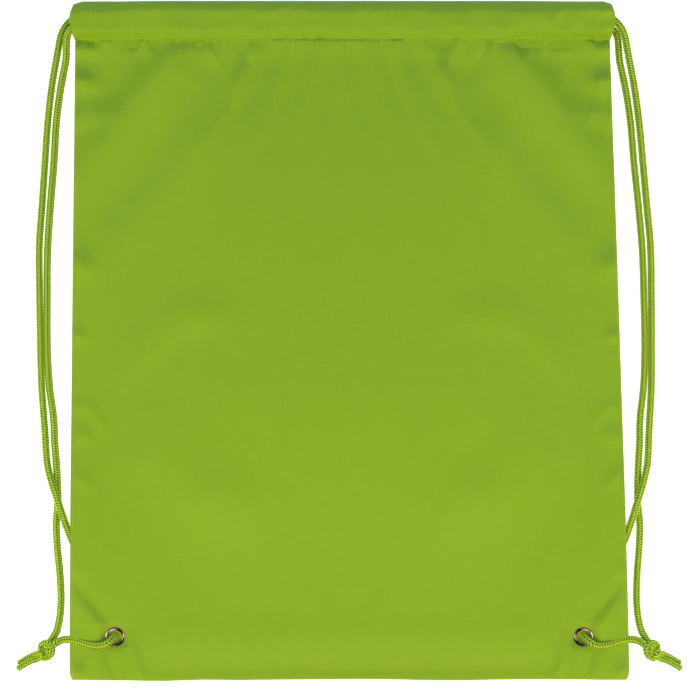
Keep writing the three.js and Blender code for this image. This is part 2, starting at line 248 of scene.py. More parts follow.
STRAIGHT_END = [
    (-165, 193.2, 9.4, 2.8), (-170.5, 193.8, 9.1, 2.75), (-173.6, 191.6, 8.2, 2.65),
    (-175.1, 187.5, 6.9, 2.45), (-175.6, 181.5, 5.2, 2.25), (-175.9, 174, 3.7, 2.1),
    (-177.6, 165, 2.6, 2.1), (-179.4, 155), (-181.8, 136), (-183.4, 110), (-185.6, 83),
    (-187.3, 55), (-187.6, 25), (-187.5, -5), (-186.1, -29), (-183.6, -48), (-182.9, -63),
    (-181.6, -80), (-181, -98.8), (-182, -114), (-181.3, -128), (-179.6, -146), (-179, -161),
    (-179.7, -171), (-181.4, -179.4, 2.5), (-182.9, -182.5, 3.2), (-185.2, -186.3, 4.5),
]
EYELET_END = [
    (-164, 202.6, 9.3, 2.8), (-169.4, 200.8, 9.2, 2.75), (-173.6, 197.9, 9.0, 2.7),
    (-177.2, 193.6, 8.4, 2.55), (-179.4, 188.3, 7.2, 2.35), (-180.6, 182, 5.6, 2.2),
    (-182, 174, 3.8, 2.1), (-183.6, 165, 2.5, 2.1), (-185, 156), (-187.4, 134), (-189.2, 108),
    (-190.9, 83), (-192.6, 58), (-192.4, 30), (-191.9, 0), (-191.1, -28), (-189.1, -55),
    (-187.4, -77, 3.3), (-184.6, -88, 5.6), (-181, -98.8, 6.45), (-177, -111.2, 4.2),
    (-174.8, -117.6, 2.7), (-172.4, -123.6, 2.15), (-165.6, -138), (-158, -151.5),
    (-151, -163.5), (-146.6, -172.6), (-145.2, -178.2, 2.25), (-144.9, -180.1, 2.9),
    (-145.0, -181.6, 4.3), (-145.3, -182.7, 6.1), (-146.2, -184.0, 7.8), (-147.7, -185.5, 9.7),
    (-149.9, -187.3, 10.8), (-152.6, -188.6, 10.1), (-156.6, -189.0, 9.5), (-162, -188.1, 8.3),
    (-167, -186.5, 7.3), (-173, -185.2, 6.6), (-178.3, -185.6, 6.6), (-182.9, -188.1, 8.1),
]
KNOT = np.array([-188.5, -191.9, 6.0])
STRAIGHT_TAIL = [(-194.7, -193.9, 4.5), (-198.9, -195.9, 2.7), (-205.0, -199.6, LYING)]
EYELET_TAIL = [(-192.6, -197.4, 5.5), (-197.5, -199.1, 5.2), (-205.0, -203.4, 4.6)]
CUT_LONGER = 1.0  # the cut ends stand out past the CAD's tails by this much

# The overhand knot that both strands are tied in together, from its middle: along the tails,
# across them towards the lower right, and up. The two strands lie side by side on this line.
KNOT_LINE = [
    (-4.4, -0.9, -0.4), (-1.6, -1.2, -1.6), (1.3, -0.9, -2.2), (3.1, 0.9, -1.4),
    (2.3, 3.0, 0.2), (-0.4, 3.5, 1.7), (-2.6, 1.8, 2.9), (-3.2, -0.8, 2.9), (-2.2, -3.0, 1.2),
    (-0.3, -3.3, -1.2), (0.5, -1.6, -3.2), (0.3, 0.6, -2.0), (0.9, 1.2, 0.8), (2.6, 0.7, 2.4),
    (4.3, 0.5, 0.9),
]
KNOT_ALONG = np.array([-0.82, -0.572, 0])
KNOT_ACROSS = np.array([0.572, -0.82, 0])
KNOT_SIZE = (1.04, 0.9, 1.0)
KNOT_APART = 1.3  # from the line to each strand's middle
TAILS_TOGETHER = 0.45  # each tail leans on the other by this much


def strand_route(run, in_front, points):
    heights = FROM_FRONT if in_front else FROM_BACK
    inside = [(x, run, z) for x, z in zip(CHANNEL_X, heights)]
    outside = []
    for p in points:
        front = p[2] if len(p) > 2 else LYING
        back = p[3] if len(p) > 3 else front
        outside.append((p[0], p[1], front if in_front else back))
    return np.array(inside + outside, float)


def knot_route(side):
    """side is +1 for the strand from the eyelet and -1 for the straight one."""
    local = np.array(KNOT_LINE) * KNOT_SIZE
    flat = np.gradient(local[:, :2], axis=0)
    flat /= np.linalg.norm(flat, axis=1)[:, None]
    local[:, 0] -= side * KNOT_APART * flat[:, 1]
    local[:, 1] += side * KNOT_APART * flat[:, 0]
    return KNOT + local[:, :1] * KNOT_ALONG + local[:, 1:2] * KNOT_ACROSS + local[:, 2:] * (0, 0, 1)


def loop_route(front_run, back_run):
    """The far half of a cord: along one channel, round the hem's end and back through the other."""
    front = [(x, front_run, z) for x, z in zip(CHANNEL_X[:-1], FROM_FRONT)]
    back = [(x, back_run, z) for x, z in zip(CHANNEL_X[:-1], FROM_BACK)]
    middle = ((front_run + back_run) / 2, (FROM_FRONT[-1] + FROM_BACK[-1]) / 2)
    half = ((front_run - back_run) / 2, (FROM_FRONT[-1] - FROM_BACK[-1]) / 2)
    radius = math.hypot(*half)
    turn = float(left_edge(middle[0])) + 2.3 + CORD / 2 + radius
    bend = []
    for degrees in range(0, 181, 30):
        a = math.radians(degrees)
        away = math.cos(a)
        bend.append((turn - radius * math.sin(a), middle[0] + half[0] * away,
                     middle[1] + half[1] * away))
    return np.array(front + bend + back[::-1], float)


def spline(points, fine=24):
    """Centripetal Catmull-Rom curve through the points, as dense points."""
    p = np.asarray(points, float)
    p = np.vstack([2 * p[0] - p[1], p, 2 * p[-1] - p[-2]])
    out = []
    t = np.linspace(0, 1, fine, endpoint=False)[:, None]
    for p0, p1, p2, p3 in zip(p[:-3], p[1:-2], p[2:-1], p[3:]):
        d0, d1, d2 = (max(np.linalg.norm(b - a) ** 0.5, 1e-4) for a, b in ((p0, p1), (p1, p2), (p2, p3)))
        m1 = ((p1 - p0) / d0 - (p2 - p0) / (d0 + d1) + (p2 - p1) / d1) * d1
        m2 = ((p2 - p1) / d1 - (p3 - p1) / (d1 + d2) + (p3 - p2) / d2) * d1
        out.append(p1 + t * m1 + t**2 * (-3 * p1 + 3 * p2 - 2 * m1 - m2)
                   + t**3 * (2 * p1 - 2 * p2 + m1 + m2))
    out.append(p[-2:-1])
    return np.vstack(out)


def measured(points):
    return np.concatenate([[0], np.cumsum(np.linalg.norm(np.diff(points, axis=0), axis=1))])


# ---------------- heights of the cloth

HIDDEN = [p[:2] for p in EYELET_END[22:27]]


def soft_max(a, b, blend=1.0):
    return (a + b + np.sqrt((a - b) ** 2 + blend**2)) / 2


def lift(x, y):
    """How far the cloth is lifted by the cord under the bag and by the eyelets."""
    xl = on_left(x, y)
    away, _ = nearest_on(HIDDEN, xl, y)
    over_cord = (LYING + CORD / 2 + 0.4) * (1 - smooth(away - 3, 92))
    from_eyelet = np.hypot(xl - EYELET_X, y - EYELET_Y)
    return mix(over_cord, UNDER_WASHER, 1 - smooth(from_eyelet - 7, 70))


def channel_rise(y):
    return (CHANNEL - GAP) * smooth(y - STITCH_Y, 5.5)


def over_facing(y):
    return smooth(y - FACING_END + 10, 10)


def hem_rise(x, y):
    """The hem's outer layer over the cords. It is loose, so it stands higher than they need, and
    its stitches hold it down a little further up in some places than in others."""
    above = np.maximum(y - STITCH_Y, 0)
    near_end = 1 - smooth(from_side(x, y) - 4, 80)
    held = np.clip(0.15 + 0.95 * wander(x, 4.6, 24) + 0.55 * wander(x, 9.7, 25), 0, 1)
    held = 2.9 * held * (0.5 + 0.5 * near_end)
    over_cord = (CHANNEL - 1.6) * np.sin(np.pi / 2 * np.clip((above - held) / (9.2 - held), 0, 1))
    return over_cord + 3.8 * np.clip(above / 18.5, 0, 1)


EDGE_ROOM = 1.7  # the front stands this much higher along the sides than at the middle of a shut bag


def seam_room(x, y):
    return EDGE_ROOM * (1 - smooth(from_side(x, y) - 8, 34))


def back_outer(x, y):
    return CLOTH / 2 + lift(x, y)


def back_facing(x, y):
    return back_outer(x, y) + LAYER + channel_rise(y)


def front_facing(x, y):
    folded = over_facing(y)
    over = back_outer(x, y) + CLOTH / 2 + folded * (LAYER + channel_rise(y))
    over += GAP + folded * (THREAD + GAP) + (1 - folded) * seam_room(x, y)
    shut = CLOTH + GAP + seam_room(x, y)
    side_slope = SLOPE + 30 * (1 - smooth(y - 90, 80))
    rise = smooth(from_side(x, y) / side_slope) * smooth(y - BOTTOM, 190)
    below_hem = smooth(FACING_END - 15 - y, 60)
    softness = 0.3 + 4.2 * smooth(from_side(x, y) - 4, 45) * below_hem
    return soft_max(shut + (FULLNESS - CLOTH - GAP) * rise, over, softness) + CLOTH / 2


FOLD_DEPTH = 2.9
# Soft folds of the front's left side, which the right side mirrors: points of the line, half
# width, and height as a share of FOLD_DEPTH.
FOLDS = [
    # from the hem down to the side
    ([(-124, 186), (-148, 154), (-172, 124)], 12, -1.0),
    ([(-104, 184), (-129, 152), (-166, 102)], 13, 1.35),
    ([(-88, 164), (-128, 107), (-162, 70)], 14, -0.7),
    ([(-76, 138), (-118, 88), (-154, 50)], 16, 0.4),
    # short folds that start at the side
    ([(-173, 181), (-158, 180)], 4.2, 1.0),
    ([(-173, 161), (-160, 160)], 6.0, 1.5),
    ([(-173, 137), (-154, 142)], 8, 1.2),
    ([(-173, 50), (-163, 44)], 7, 1.2),
    ([(-173, 3), (-165, 3.5)], 4.0, 0.9),
    ([(-173, -39), (-160, -43), (-152, -54)], 4.2, 0.6),
    ([(-173, -58), (-160, -59)], 5.0, 0.6),
    ([(-173, -80), (-162, -90)], 4.2, 0.6),
    ([(-173, -142), (-167, -143)], 3.2, 0.4),
    ([(-172, -204), (-165, -205)], 4.5, 1.0),
    # wide, shallow ones
    ([(-134, -16), (-120, 4), (-102, 17), (-76, 15)], 12, 0.8),
    ([(-140, -70), (-137, -84)], 12, 0.3),
    ([(-122, -52), (-104, -92), (-64, -106)], 19, 1.05),
    ([(-51, -37), (-46, -58), (-42, -77)], 3.2, 0.16),
    ([(-14, -178), (-19, -165), (-26, -156)], 7, 0.25),
    # round the eyelet
    ([(-170, -148), (-151, -171)], 3.4, -0.75),
    ([(-168, -163), (-154, -178)], 4.6, 0.8),
    ([(-148, -193), (-141, -208)], 3.6, -1.0),
    ([(-136, -186), (-134, -198), (-128, -209)], 4.4, 0.85),
    ([(-157, -195), (-155, -207)], 4.6, 0.6),
    # pulls from the hem's stitches
    ([(-113, 186), (-118, 176)], 4.0, -0.5),
    ([(-90, 187), (-82, 172)], 3.2, 0.5),
    ([(-56, 187), (-66, 166), (-73, 154)], 4.2, 0.55),
    ([(-67, 182), (-62, 170)], 4.0, -0.5),
]
# gathers that fan out below the hem: where each starts, how far it leans, its length and height
FAN = [(-6, 2, 34, 0.3), (-13, 5, 52, -0.32), (-21, 9, 58, 0.3), (-30, 15, 46, -0.34),
       (-38, 22, 64, 0.3), (-47, 28, 50, -0.34), (-58, 34, 62, 0.3)]
for start, lean, length, height in FAN:
    FOLDS.append(([(start, 183), (start - 0.4 * lean, 183 - 0.6 * length),
                   (start - lean, 183 - length)], 4.4, height))

STITCH, STITCH_GAP = 3.5, 1.35
HEM_PITCH = STITCH + STITCH_GAP
FIRST_STITCH = 1.2  # from the middle


def front_base(x, y):
    return front_facing(x, y) + over_facing(y) * LAYER + hem_rise(x, y)


def relief(x, y):
    """The small folds, puckers and dents of the front."""
    xl = on_left(x, y)
    z = np.zeros(np.shape(x))
    for line, width, height in FOLDS:
        away, place = nearest_on(line, xl, y)
        ends = 1 - 0.45 * smooth(abs(place - 0.5) - 0.3, 0.2)
        z += FOLD_DEPTH * height * bell(away, width) * ends
    below = STITCH_Y - y
    inwards = smooth(from_side(x, y) - 2, 8)
    # beside the line of stitches the cloth rises at once in some places and is pulled flat in others
    middle = bell(x + 4, 46)
    pulled = mix(0.9 + 1.3 * wander(x, 7.5, 3) + 0.6 * wander(x, 3.9, 5), -0.6, middle)
    z -= 1.8 * pulled * inwards * bell(below, 5.5) * smooth(below + 1, 2.2)
    z += 1.0 * wander(x + 0.25 * below, 13, 7) * inwards * bell(below - 13, 13) * smooth(below + 2, 8)
    z += 0.9 * inwards * bell(below + 1.5, 7)
    # each stitch pulls its own short groove
    between = 0.5 + 0.5 * np.cos(2 * np.pi * (abs(x) - FIRST_STITCH + STITCH_GAP / 2) / HEM_PITCH)
    z += (0.62 * between**2 - 0.16) * bell(below, 0.75)
    # a soft roll above the bottom, a hollow under it and a thin rim at the fold
    wide = smooth(from_side(x, y) - 34, 32)
    z += 1.25 * bell(y + 184.5, 11.5) * wide
    z -= 0.85 * bell(y + 202.5, 5.0) * wide
    z += 0.3 * bell(y - BOTTOM - 2.0, 2.5)
    # dents never reach the sewn edges inside
    seam_top = back_outer(x, y) + 1.25 - front_base(x, y)
    return soft_max(z, seam_top, 0.2)


HEM_CREST = 203.9  # the hem's top slopes off from here
TOP_SLOPE = math.tan(math.radians(32))


def hem_slope(x, y):
    start = HEM_CREST + 1.2 * wander(x, 17, 11) + 0.6 * wander(x, 7, 12)
    past = y - start
    steeper = 1 + 0.3 * (1 - smooth(from_side(x, y) - 20, 120))
    return steeper * TOP_SLOPE * 0.5 * (past + np.sqrt(past**2 + 1.6))


def hem_relief(x, y):
    above = y - STITCH_Y
    inside = smooth(above - 1, 6)
    ends = 1 - smooth(from_side(x, y) - 4, 70)
    z = 0.5 + 0.6 * wander(x + 0.3 * y, 15, 21) * wander(y + 0.3 * x, 9, 23)
    z += (0.2 + 0.9 * ends) * wander(x - 0.4 * y, 6.5, 22) * bell(above - 11, 8)
    z += (0.4 + 0.5 * ends) * wander(x, 7.5, 26) * wander(y - 0.35 * x, 5.5, 27)
    dimples = np.clip(1.3 * wander(x + 0.3 * above, 4.3, 24) + 0.5 * wander(x, 9.7, 25), 0, 1)
    return inside * z - (1.1 + 0.6 * ends) * dimples * bell(above - 3.0, 1.9) * smooth(above, 1.0)


def over_cords(x, y):
    """The height of the hem's outer layer where it just clears the two cords in its channel."""
    xl = np.where(x < MIDDLE, x, across(x, y))
    room = CORD / 2 + 0.7
    top = np.full(np.shape(xl + y), -9.0)
    for run, points in ((LOW_RUN, STRAIGHT_END[:3]), (HIGH_RUN, EYELET_END[:3])):
        at = CHANNEL_X + [p[0] for p in points]
        axis_y = [run] * len(CHANNEL_X) + [p[1] for p in points]
        axis_z = FROM_FRONT + [p[2] for p in points]
        away = np.clip(abs(y - np.interp(-xl, -np.array(at), axis_y)) / room, 0, 1)
        over = np.interp(-xl, -np.array(at), axis_z) + room * np.sqrt(1 - away**2)
        top = np.maximum(top, np.where(away < 1, over, -9.0))
    return top


def front_outer(x, y):
    free = front_base(x, y) + relief(x, y) + hem_relief(x, y) - hem_slope(x, y)
    return soft_max(free, over_cords(x, y), 0.25)


# ---------------- the cloth

EDGE_ROLL = 3.0  # how far in from a side the closed edge turns over
SEAM_TOP, SEAM_OPENING = 166.0, 12.0  # above this the sides of the mouth stand open
ROLL_START = 208.0
FRONT, FRONT_INSIDE, BACK, BACK_INSIDE = 0, 1, 2, 3


def closed(y):
    return 1 - smooth(y - SEAM_TOP, SEAM_OPENING)


def spaced(start, end, step):
    return list(np.linspace(start, end, max(2, int(round(abs(end - start) / step)) + 1))[:-1])


def column_distances(half_width):
    """Distances of the grid's columns from the side, closer together where the shape is finer."""
    d = [0, 0.12, 0.35, 0.7, 1.1, 1.6, 2.2, 2.9, 3.7, 4.6, 5.6]
    d += spaced(6.8, 20, 1.5) + spaced(20, 36.5, 0.85)
    return np.array(d + list(np.linspace(36.5, half_width, 140)))


def side_inset(y, turned):
    """Cuts the hem's top corners off, and keeps the turned-in layer short of the open ends."""
    cut = 4.6 * np.clip((y - 208.1) / 1.6, 0, 1) ** 1.2
    return np.maximum(cut, FACING_INSET * turned)


def rows():
    """Each row of the cloth's grid from the front's turned-in end round to the back's:
    which layer it is in, y, and place round a fold from 0 to 1."""
    hem = spaced(FACING_END, STITCH_Y - 1, 1.2) + spaced(STITCH_Y - 1, STITCH_Y + 1, 0.33)
    hem += spaced(STITCH_Y + 1, ROLL_START, 1.1) + [ROLL_START]
    body = spaced(BOTTOM + 0.4, BOTTOM + 6, 0.7) + spaced(BOTTOM + 6, -194, 1.6)
    body += spaced(-194, -174, 0.85) + spaced(-174, 160, 2.6) + spaced(160, FACING_END, 1.4)
    turns = np.linspace(0, 1, 13)[1:-1]
    made = [(FRONT_INSIDE, y, 0) for y in hem]
    made += [("front fold", ROLL_START, t) for t in turns]
    made += [(FRONT, y, 0) for y in (body + hem)[::-1]]
    made += [("bottom fold", BOTTOM, t) for t in turns]
    made += [(BACK, y, 0) for y in body + hem]
    made += [("back fold", ROLL_START, t) for t in turns]
    made += [(BACK_INSIDE, y, 0) for y in hem[::-1]]
    return made


def bezier(p0, p1, p2, p3, t):
    return (1 - t) ** 3 * p0 + 3 * (1 - t) ** 2 * t * p1 + 3 * (1 - t) * t**2 * p2 + t**3 * p3


def edge_x(side, y, inset, distances):
    """x of a row's columns. side is -1 for the left half and +1 for the right one."""
    edge = abs(side_edge(side, y))
    full = distances[-1]
    kept = 60.0
    near = inset + distances * (kept - inset) / kept
    far = kept + (distances - kept) * (edge - kept) / (full - kept)
    return side * (edge - np.where(distances < kept, near, far))


def bottom_wave(x):
    return 0.45 * wander(x, 60, 31) + 0.25 * wander(x, 23, 32)


def layer_heights(layer, x, y):
    z_front, z_back = front_outer(x, y), back_outer(x, y)
    if layer == FRONT_INSIDE:
        return front_facing(x, y) + hem_relief(x, y)
    if layer == BACK_INSIDE:
        return back_facing(x, y)
    level = (z_front + z_back) / 2
    d = from_side(x, y)
    round_off = 1 - np.sqrt(1 - (1 - np.clip(d / EDGE_ROLL, 0, 1)) ** 2)
    share = 1 - closed(y) * round_off
    return level + ((z_front if layer == FRONT else z_back) - level) * share


def eyelet_dip(x, y, z, layer):
    """Inside the eyelet the cloth's cut edges draw in round the cord, below the metal."""
    xl = on_left(x, y)
    away = np.hypot(xl - EYELET_X, y - EYELET_Y)
    flat = FLANGE_Z - 0.45 if layer == FRONT else UNDER_WASHER + 0.3
    deep = FLANGE_Z - 2.0 if layer == FRONT else UNDER_WASHER + 0.1
    z = np.where(away < 11, mix(z, flat, 1 - smooth(away - 6.2, 4)), z)
    return np.where(away < EYELET_BARREL, mix(flat, deep, smooth(EYELET_BARREL - 0.2 - away, 2.6)), z)


def cloth_points(side):
    """The middle surface of one half as a grid of points, and the layer that each row is in."""
    distances = column_distances(WIDTH / 2)
    points, kinds = [], []
    for layer, y, t in rows():
        if layer in (FRONT, BACK, FRONT_INSIDE, BACK_INSIDE):
            turned = 1.0 if layer in (FRONT_INSIDE, BACK_INSIDE) else 0.0
            x = edge_x(side, y, side_inset(y, turned), distances)
            z = layer_heights(layer, x, np.full_like(x, y))
            if layer in (FRONT, BACK):
                z = eyelet_dip(x, np.full_like(x, y), z, layer)
            ys = np.full_like(x, y) + bottom_wave(x) * bell(y - BOTTOM, 8) * (layer in (FRONT, BACK))
        elif layer == "bottom fold":
            x = edge_x(side, BOTTOM + 0.4, 0, distances)
            near = np.full_like(x, BOTTOM + 0.4)
            a, b = layer_heights(FRONT, x, near), layer_heights(BACK, x, near)
            angle = np.pi * t
            z = mix(a, b, (1 - np.cos(angle)) / 2)
            ys = near - 0.55 * np.sin(angle) + bottom_wave(x)
        else:
            front = layer == "front fold"
            turned = 1 - t if front else t
            rolled = bezier(ROLL_START, ROLL_START + 2.3, ROLL_START + 3.1, ROLL_START, turned)
            inset = side_inset(rolled, smooth(turned - 0.3, 0.7))
            x = edge_x(side, ROLL_START, inset, distances)
            near = np.full_like(x, ROLL_START)
            outer = layer_heights(FRONT if front else BACK, x, near)
            inner = layer_heights(FRONT_INSIDE if front else BACK_INSIDE, x, near)
            slope = (-TOP_SLOPE if front else 0) * 2.3
            ys = np.full_like(x, rolled)
            z = bezier(outer, outer + slope, inner, inner, turned)
        points.append(np.column_stack([x, ys, z]))
        kinds.append(layer)
    return np.array(points), kinds


def grid_normals(grid):
    down = np.gradient(grid, axis=0)
    over = np.gradient(grid, axis=1)
    n = np.cross(over, down)
    return n / np.maximum(np.linalg.norm(n, axis=2), 1e-9)[:, :, None]


def closing_rims(quads, total):
    """Faces that join two equal layers of total points along each edge that only one quad uses."""
    edges = np.concatenate([quads[:, [i, (i + 1) % 4]] for i in range(4)])
    keys = np.sort(edges, axis=1)
    packed = keys[:, 0].astype(np.int64) * total + keys[:, 1]
    _, first, counts = np.unique(packed, return_index=True, return_counts=True)
    rim = edges[first[counts == 1]]
    return np.column_stack([rim[:, 1], rim[:, 0], rim[:, 0] + total, rim[:, 1] + total])


def make_cloth(side, name, material):
    grid, kinds = cloth_points(side)
    n = grid_normals(grid) * -side
    # the two halves share the normals of their common line, which is the middle of one cloth
    n[:, -1, 0] = 0
    # Known fault: at the outer end of the bottom fold the normal has no length. That point gets no
    # valid place, and validate() moves it to the origin, which leaves a few long stray faces.
    n /= np.linalg.norm(n, axis=2)[:, :, None]
    outer, inner = grid + n * VISIBLE_CLOTH / 2, grid - n * VISIBLE_CLOTH / 2
    outer[:, :, 2] = np.maximum(outer[:, :, 2], 0.02)
    inner[:, :, 2] = np.maximum(inner[:, :, 2], 0.04)
    # the hole that the cord passes through
    centre = (grid[:-1, :-1] + grid[1:, 1:]) / 2
    from_hole = (on_left(centre[:, :, 0], centre[:, :, 1]) - CORD_HOLE[0], centre[:, :, 1] - CORD_HOLE[1])
    hole = np.hypot(*from_hole) < CORD_HOLE_RADIUS
    layer_rows = np.array([k in (FRONT, BACK) for k in kinds])
    cut_out = hole & layer_rows[:-1, None] & layer_rows[1:, None]
    quads = grid_quads(*grid.shape[:2])[~cut_out]
    total = grid[:, :, 0].size
    if side > 0:
        quads = quads[:, ::-1]
    below = quads[:, ::-1] + total
    verts = np.concatenate([outer.reshape(-1, 3), inner.reshape(-1, 3)])
    along = np.broadcast_to(measured(grid[:, -1])[:, None], grid.shape[:2])
    uv = np.stack([grid[:, :, 0], along], -1).reshape(-1, 2) * MM
    normals = np.concatenate([n.reshape(-1, 3), -n.reshape(-1, 3)])
    faces = np.concatenate([quads, below, closing_rims(quads, total)])
    return make_object(name, verts, faces, material, uv=np.concatenate([uv, uv]), normals=normals)


# ---------------- materials


class Nodes:
    """Short calls for building a material's nodes."""

    def __init__(self, name):
        self.material = bpy.data.materials.new(name)
        self.material.use_nodes = True
        self.tree = self.material.node_tree
        self.shader = self.tree.nodes["Principled BSDF"]

    def add(self, kind, inputs=(), **settings):
        node = self.tree.nodes.new(kind)
        for key, value in settings.items():
            setattr(node, key, value)
        for key, value in dict(inputs).items():
            self.put(node.inputs[key], value)
        return node

    def put(self, socket, value):
        if isinstance(value, bpy.types.NodeSocket):
            self.tree.links.new(value, socket)
        else:
            socket.default_value = value

    def math(self, operation, a, b=None):
        node = self.add("ShaderNodeMath", operation=operation)
        self.put(node.inputs[0], a)
        if b is not None:
            self.put(node.inputs[1], b)
        return node.outputs[0]

    def mix(self, factor, a, b):
        node = self.add("ShaderNodeMix", data_type="RGBA")
        self.put(node.inputs["Factor"], factor)
        self.put(node.inputs["A"], a)
        self.put(node.inputs["B"], b)
        return node.outputs["Result"]

    def noise(self, vector, scale, detail=2.0, roughness=0.5):
        node = self.add("ShaderNodeTexNoise", {"Vector": vector, "Scale": scale, "Detail": detail,
                                               "Roughness": roughness})
        return node.outputs["Fac"]

    def scaled(self, vector, scale):
        node = self.add("ShaderNodeMapping", {"Vector": vector, "Scale": scale})
        return node.outputs["Vector"]

    def ramp(self, factor, stops):
        node = self.add("ShaderNodeValToRGB", {"Fac": factor})
        elements = node.color_ramp.elements
        while len(elements) < len(stops):
            elements.new(0.5)
        for element, (place, colour) in zip(elements, stops):
            element.position, element.color = place, colour
        return node.outputs["Color"]

    def bump(self, height, strength, distance):
        node = self.add("ShaderNodeBump", {"Height": height, "Strength": strength, "Distance": distance})
        self.put(self.shader.inputs["Normal"], node.outputs["Normal"])

    def finish(self, colour, **numbers):
        self.put(self.shader.inputs["Base Color"], colour)
        for key, value in numbers.items():
            self.put(self.shader.inputs[key.replace("_", " ")], value)
        return self.material


WEAVE = 0.5 * MM  # from one thread to the next


def cloth_material():
    """Plain-woven nylon: fine threads both ways, faint streaks along them and a soft sheen."""
    m = Nodes("woven_cloth")
    uv = m.add("ShaderNodeUVMap", uv_map="cloth").outputs["UV"]
    parts = m.add("ShaderNodeSeparateXYZ", {"Vector": uv})
    turns = 2 * math.pi / (2 * WEAVE)
    across_threads = m.math("SINE", m.math("MULTIPLY", parts.outputs["X"], turns))
    along_threads = m.math("SINE", m.math("MULTIPLY", parts.outputs["Y"], turns))
    weave = m.math("MULTIPLY", across_threads, along_threads)
    weft = m.noise(m.scaled(uv, (90, 2600, 1)), 1.0, 1.0)
    warp = m.noise(m.scaled(uv, (2600, 90, 1)), 1.0, 1.0)
    streaks = m.math("ADD", weft, warp)
    broad = m.noise(uv, 9.0, 3.0, 0.6)
    tone = m.math("ADD", m.math("MULTIPLY", streaks, 0.5), m.math("MULTIPLY", weave, 0.05))
    colour = m.ramp(tone, [(0.3, srgb(136, 172, 22)), (0.7, srgb(146, 182, 32))])
    colour = m.mix(m.math("MULTIPLY", broad, 0.2), colour, srgb(132, 171, 30))
    roughness = m.math("ADD", m.math("MULTIPLY", broad, 0.12), 0.5)
    height = m.math("ADD", m.math("MULTIPLY", weave, 0.5), m.math("MULTIPLY", streaks, 0.6))
    m.bump(height, 0.5, 0.00012)
    return m.finish(colour, Roughness=roughness, Specular_IOR_Level=0.28, Sheen_Weight=0.05,
                    Sheen_Roughness=0.45, Sheen_Tint=srgb(205, 232, 120))


def cord_material():
    """Knitted cord, with painted shade in the gaps, painted highlights on the raised stitches, and painted
    shade on the side towards the bag.
    """
    m = Nodes("knitted_cord")
    stitch = m.add("ShaderNodeAttribute", attribute_name="stitch").outputs["Fac"]
    inner = m.add("ShaderNodeAttribute", attribute_name="inner").outputs["Fac"]
    place = m.add("ShaderNodeTexCoord").outputs["Object"]
    fibres = m.noise(place, 2600.0, 2.0)
    patches = m.noise(place, 160.0, 2.0)
    shade = m.math("ADD", stitch, m.math("MULTIPLY", m.math("SUBTRACT", fibres, 0.5), 0.35))
    # painted shade and highlight: the gaps between stitches are coloured dark and the raised stitches
    # light
    colour = m.ramp(shade, [(0.14, srgb(56, 92, 24)), (0.4, srgb(130, 169, 28)),
                            (0.64, srgb(186, 218, 30)), (1.0, srgb(222, 240, 64))])
    colour = m.mix(m.math("MULTIPLY", patches, 0.15), colour, srgb(140, 178, 34))
    # painted shade: the side of the cord towards the bag is coloured darker
    colour = m.mix(m.math("MULTIPLY", inner, 0.36), colour, srgb(84, 124, 32))
    m.bump(fibres, 0.3, 0.0001)
    return m.finish(colour, Roughness=0.62, Specular_IOR_Level=0.25, Sheen_Weight=0.12,
                    Sheen_Roughness=0.5, Sheen_Tint=srgb(210, 235, 130))


def thread_material():
    """Twisted sewing thread, a little darker than the cloth."""
    m = Nodes("sewing_thread")
    uv = m.add("ShaderNodeUVMap", uv_map="cloth").outputs["UV"]
    twist = m.add("ShaderNodeTexWave", {"Vector": uv, "Scale": 1.6, "Distortion": 0.4},
                  bands_direction="DIAGONAL")
    colour = m.ramp(twist.outputs["Fac"], [(0.2, srgb(98, 136, 34)), (0.8, srgb(130, 167, 38))])
    m.bump(twist.outputs["Fac"], 0.4, 0.00006)
    return m.finish(colour, Roughness=0.6, Specular_IOR_Level=0.3)


def chrome_material():
    """Plated metal. What a studio would reflect in it is painted round the ring in bands of colour."""
    m = Nodes("plated_metal")
    place = m.add("ShaderNodeTexCoord").outputs["Object"]
    turn = m.add("ShaderNodeAttribute", attribute_name="turn").outputs["Fac"]
    cloud = m.noise(place, 420.0, 3.0)
    fine = m.noise(place, 3200.0, 2.0)
    turn = m.math("ADD", turn, m.math("MULTIPLY", m.math("SUBTRACT", cloud, 0.5), 0.12))
    dark, violet, pink = srgb(50, 42, 58), srgb(122, 84, 134), srgb(214, 118, 182)
    silver = srgb(226, 216, 230)
    colour = m.ramp(turn, [(0.0, silver), (0.06, pink), (0.15, dark), (0.24, violet), (0.32, pink),
                           (0.46, silver), (0.53, pink), (0.68, pink), (0.76, dark), (0.92, dark),
                           (1.0, silver)])
    roughness = m.math("ADD", m.math("MULTIPLY", fine, 0.08), 0.06)
    m.bump(fine, 0.08, 0.00004)
    return m.finish(colour, Roughness=roughness, Metallic=1.0)


CLOTH_LOOK = cloth_material()
CORD_LOOK = cord_material()
THREAD_LOOK = thread_material()
CHROME_LOOK = chrome_material()

# ---------------- each piece's place, baked into its mesh

CLOTH_SHARE = 0.21, 1 / 0.1733, 1 / 0.42
CORD_SHARE = 0.2, 5.966, 2.86


def follow_hem_end(piece, side, start_y, to_side, to_mouth):
    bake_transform(piece)


def follow_cloth(piece, side):
    """Cloth and what is sewn to it: its place is baked into its mesh."""
    follow_hem_end(piece, side, *CLOTH_SHARE)


def follow_cord(piece, side):
    """Cords: their place is baked into their mesh."""
    follow_hem_end(piece, side, *CORD_SHARE)


# ---------------- the cords

CORD_SIDES = 36
STITCH_COLUMNS = 6
STITCH_PITCH = 1.62
STITCH_RAISED = 0.16  # share of the radius
FINE_STEP, COARSE_STEP = 0.22, 1.3
KNOTTED = 1.9  # radius inside the tight knot
SEEN_RADIUS = CORD / 2 + 0.26  # the knitted surface stands out a little
TAIL_RADIUS = 1.9
SEEN_FROM = 138.0  # the cords are hidden in the channel up to this distance from the middle


